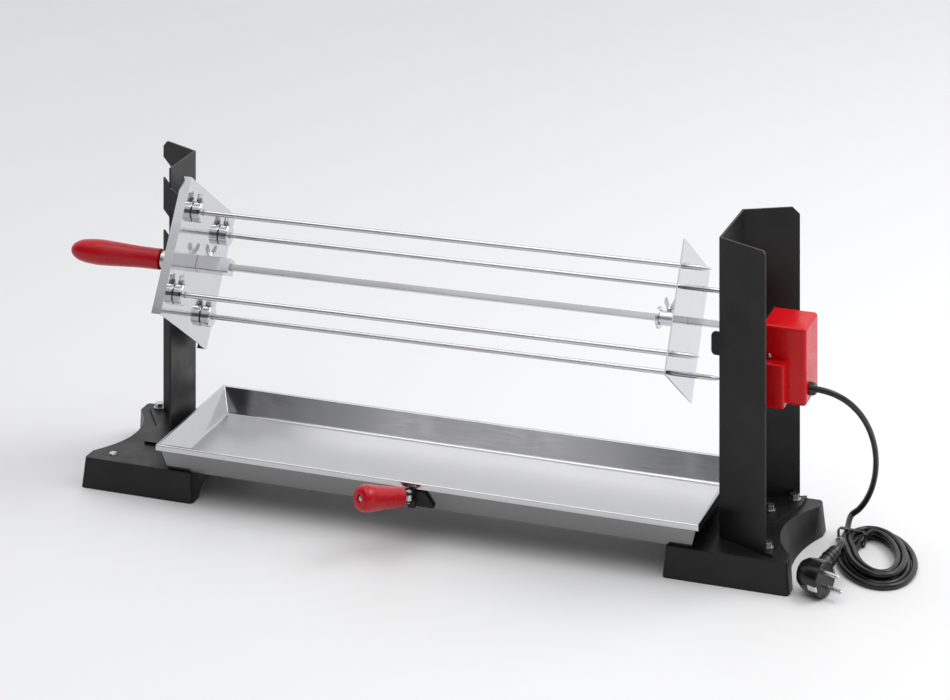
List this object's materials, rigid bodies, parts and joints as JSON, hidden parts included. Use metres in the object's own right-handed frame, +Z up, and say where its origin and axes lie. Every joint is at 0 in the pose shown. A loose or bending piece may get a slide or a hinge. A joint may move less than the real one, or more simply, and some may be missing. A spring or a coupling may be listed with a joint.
{
  "type": "table-top spit rotisserie",
  "caption": "Motorised table-top rotisserie: skewers clamped between two plates on a geared square spit, notched posts on pressed feet, a drip tray with a side-swinging grip and a mains lead.",
  "frame": {"origin": "centre of the bounding box on the table plane, under the middle of the object", "axes": "+X along the spit from the handle to the motor, +Y away from the user (the tray handle faces -Y), +Z up"},
  "size_m": [1.011, 0.2788, 0.359],
  "materials": {
    "black_paint": "satin black powder coat on sheet steel",
    "stainless": "bright polished stainless steel",
    "steel": "zinc-plated or nickel-plated steel",
    "red_handle": "glossy red",
    "red_housing": "glossy moulded red plastic",
    "black_plastic": "semi-gloss black plastic",
    "brass": "plain brass",
    "white_plastic": "matt off-white"
  },
  "bodies": {
    "frame": {"left_foot": "black_paint", "right_foot": "black_paint", "left_post": "black_paint", "right_post": "black_paint", "post_bolt_1": "steel", "post_bolt_2": "steel", "post_bolt_3": "steel", "post_bolt_4": "steel", "post_bolt_5": "steel", "foot_screw": "steel", "motor_bracket": "black_paint", "motor_housing": "red_housing", "housing_screw_1": "steel", "housing_screw_2": "steel", "gear_plate": "steel", "gear_pillar_1": "steel", "gear_pillar_2": "steel", "motor_can": "steel", "terminal_block": "white_plastic", "output_bush": "brass", "idler_axle": "steel", "strain_relief": "black_plastic", "power_cable": "black_plastic", "cable_tie": "black_plastic", "plug_body": "black_plastic", "plug_pin_1": "steel", "plug_pin_2": "steel", "earth_clip_1": "steel", "earth_clip_2": "steel"},
    "drive": {"drive_socket": "steel", "output_gear": "brass"},
    "idler": {"idler_gear": "brass"},
    "pinion": {"motor_pinion": "steel"},
    "spit": {"spit_shaft": "stainless", "journal_sleeve": "steel", "spit_handle": "red_handle", "left_plate": "stainless", "left_hub": "stainless", "skewer_collar_1": "stainless", "skewer_collar_2": "stainless", "skewer_collar_3": "stainless", "skewer_collar_4": "stainless"},
    "sliding_plate": {"right_plate": "stainless", "right_hub": "stainless"},
    "hub_screw_left": {"hub_wing_screw_left": "steel"},
    "hub_screw_right": {"hub_wing_screw_right": "steel"},
    "tray": {"drip_tray": "stainless", "tray_handle_bracket": "black_paint", "tray_handle_pin": "steel"},
    "tray_grip": {"tray_handle_rod": "steel", "tray_handle_grip": "red_handle", "tray_handle_screw": "steel"},
    "skewer_bar_1": {"skewer_1": "stainless"},
    "skewer_screw_1": {"skewer_wing_screw_1": "steel"},
    "skewer_bar_2": {"skewer_2": "stainless"},
    "skewer_screw_2": {"skewer_wing_screw_2": "steel"},
    "skewer_bar_3": {"skewer_3": "stainless"},
    "skewer_screw_3": {"skewer_wing_screw_3": "steel"},
    "skewer_bar_4": {"skewer_4": "stainless"},
    "skewer_screw_4": {"skewer_wing_screw_4": "steel"}
  },
  "joints": [
    {"name": "drive_spin", "type": "hinge", "parent": "frame", "child": "drive", "pos_m": [0.30042, 0.0336, 0.2448], "axis": [1, 0, 0.0098], "continuous": true},
    {"name": "idler_spin", "type": "hinge", "parent": "frame", "child": "idler", "pos_m": [0.30059, 0.0336, 0.2278], "axis": [1, 0, 0.0098], "continuous": true},
    {"name": "pinion_spin", "type": "hinge", "parent": "frame", "child": "pinion", "pos_m": [0.30075, 0.0336, 0.2108], "axis": [1, 0, 0.0098], "continuous": true},
    {"name": "spit_slide", "type": "slide", "parent": "drive", "child": "spit", "axis": [1, 0, 0.0098], "range_m": [-0.0045, 0]},
    {"name": "right_plate_slide", "type": "slide", "parent": "spit", "child": "sliding_plate", "axis": [1, 0, 0.0098], "range_m": [-0.3, 0.012]},
    {"name": "hub_screw_left_turn", "type": "hinge", "parent": "spit", "child": "hub_screw_left", "pos_m": [-0.32975, 0.0336, 0.23862], "axis": [-0.0081, 0.5592, 0.829], "range_deg": [0, 360]},
    {"name": "hub_screw_right_turn", "type": "hinge", "parent": "sliding_plate", "child": "hub_screw_right", "pos_m": [0.22812, 0.0336, 0.24409], "axis": [-0.0081, 0.5592, 0.829], "range_deg": [0, 360]},
    {"name": "skewer_slide_1", "type": "slide", "parent": "spit", "child": "skewer_bar_1", "axis": [1, 0, 0.0098], "range_m": [-0.008, 0.01]},
    {"name": "skewer_screw_turn_1", "type": "hinge", "parent": "spit", "child": "skewer_screw_1", "pos_m": [-0.33558, 0.02258, 0.3027], "axis": [-0.0096, 0.2079, 0.9781], "range_deg": [0, 360]},
    {"name": "skewer_slide_2", "type": "slide", "parent": "spit", "child": "skewer_bar_2", "axis": [1, 0, 0.0098], "range_m": [-0.008, 0.01]},
    {"name": "skewer_screw_turn_2", "type": "hinge", "parent": "spit", "child": "skewer_screw_2", "pos_m": [-0.33508, 0.09719, 0.25237], "axis": [-0.0096, 0.2079, 0.9781], "range_deg": [0, 360]},
    {"name": "skewer_slide_3", "type": "slide", "parent": "spit", "child": "skewer_bar_3", "axis": [1, 0, 0.0098], "range_m": [-0.008, 0.01]},
    {"name": "skewer_screw_turn_3", "type": "hinge", "parent": "spit", "child": "skewer_screw_3", "pos_m": [-0.33481, -0.02999, 0.22477], "axis": [-0.0096, 0.2079, 0.9781], "range_deg": [0, 360]},
    {"name": "skewer_slide_4", "type": "slide", "parent": "spit", "child": "skewer_bar_4", "axis": [1, 0, 0.0098], "range_m": [-0.008, 0.01]},
    {"name": "skewer_screw_turn_4", "type": "hinge", "parent": "spit", "child": "skewer_screw_4", "pos_m": [-0.33432, 0.04462, 0.17445], "axis": [-0.0096, 0.2079, 0.9781], "range_deg": [0, 360]},
    {"name": "tray_slide", "type": "slide", "parent": "frame", "child": "tray", "axis": [0, -1, 0], "range_m": [0, 0.12]},
    {"name": "grip_swing", "type": "hinge", "parent": "tray", "child": "tray_grip", "pos_m": [-0.03858, -0.0739, 0.0515], "axis": [0, 0, 1], "range_deg": [-32, 30]}
  ],
  "couplings": [
    {"joint": "idler_spin", "follows": "drive_spin", "ratio": -2.4},
    {"joint": "pinion_spin", "follows": "drive_spin", "ratio": 5.76}
  ]
}
